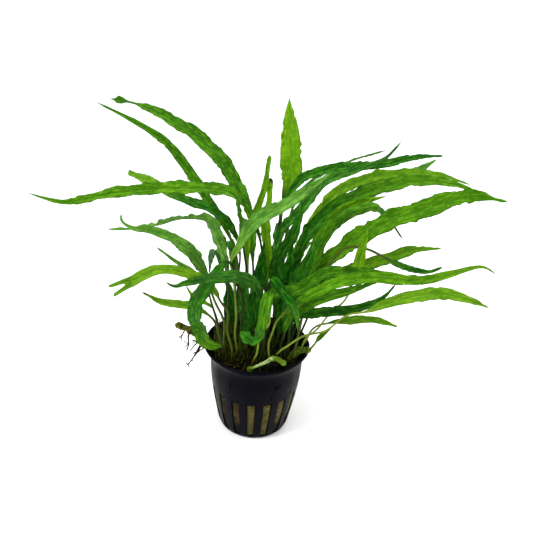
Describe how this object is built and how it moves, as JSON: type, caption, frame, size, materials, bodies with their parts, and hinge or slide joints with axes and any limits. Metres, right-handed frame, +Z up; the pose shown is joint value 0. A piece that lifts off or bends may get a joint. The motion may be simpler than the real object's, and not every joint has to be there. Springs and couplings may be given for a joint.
{
  "type": "potted narrow leaf java fern",
  "caption": "Narrow leaf java fern with 52 long green fronds on creeping rhizomes, in a black slotted net pot filled with rock wool.",
  "frame": {"origin": "centre of the underside of the net pot, on the surface that it stands on", "axes": "+Z up; +X to the viewer's right along the longest spread of the fronds; -Y towards the viewer"},
  "size_m": [0.2061, 0.1234, 0.1671],
  "materials": {
    "pot_plastic": "glossy moulded black",
    "rock_wool": "damp fibrous khaki, blackened on top",
    "rhizome": "scaly green-brown",
    "roots": "dull dark brown",
    "frond_light": "satin leaf, yellow-green",
    "frond_dark": "satin leaf, deep green"
  },
  "bodies": {
    "root": {"net_pot": "pot_plastic", "rockwool_plug": "rock_wool", "roots_left": "roots", "rhizome_front": "rhizome", "rhizome_middle": "rhizome", "rhizome_back": "rhizome", "rhizome_tip": "rhizome", "frond_left_1": "frond_light", "frond_left_2": "frond_dark", "frond_left_3": "frond_light", "frond_left_4": "frond_dark", "frond_left_5": "frond_dark", "frond_left_6": "frond_light", "frond_left_7": "frond_dark", "frond_left_8": "frond_light", "frond_left_9": "frond_dark", "frond_left_10": "frond_dark", "frond_left_11": "frond_dark", "frond_left_12": "frond_dark", "frond_crown_1": "frond_light", "frond_crown_2": "frond_dark", "frond_crown_3": "frond_dark", "frond_crown_4": "frond_dark", "frond_crown_5": "frond_light", "frond_crown_6": "frond_light", "frond_crown_7": "frond_light", "frond_crown_8": "frond_dark", "frond_right_1": "frond_light", "frond_right_2": "frond_light", "frond_right_3": "frond_dark", "frond_right_4": "frond_light", "frond_right_5": "frond_dark", "frond_right_6": "frond_dark", "frond_right_7": "frond_light", "frond_right_8": "frond_dark", "frond_right_9": "frond_dark", "frond_right_10": "frond_light", "frond_right_11": "frond_dark", "frond_right_12": "frond_dark", "frond_right_13": "frond_light", "frond_right_14": "frond_dark", "frond_right_15": "frond_light", "frond_right_16": "frond_light", "frond_right_17": "frond_light", "frond_right_18": "frond_dark", "frond_heart_1": "frond_dark", "frond_heart_2": "frond_dark", "frond_heart_3": "frond_dark", "frond_heart_4": "frond_dark", "frond_heart_5": "frond_dark", "frond_heart_6": "frond_dark", "frond_front": "frond_light", "frond_back_1": "frond_dark", "frond_back_2": "frond_dark", "frond_back_3": "frond_dark", "frond_back_4": "frond_dark", "frond_back_5": "frond_dark", "frond_back_6": "frond_dark", "frond_back_7": "frond_dark"}
  },
  "joints": []
}
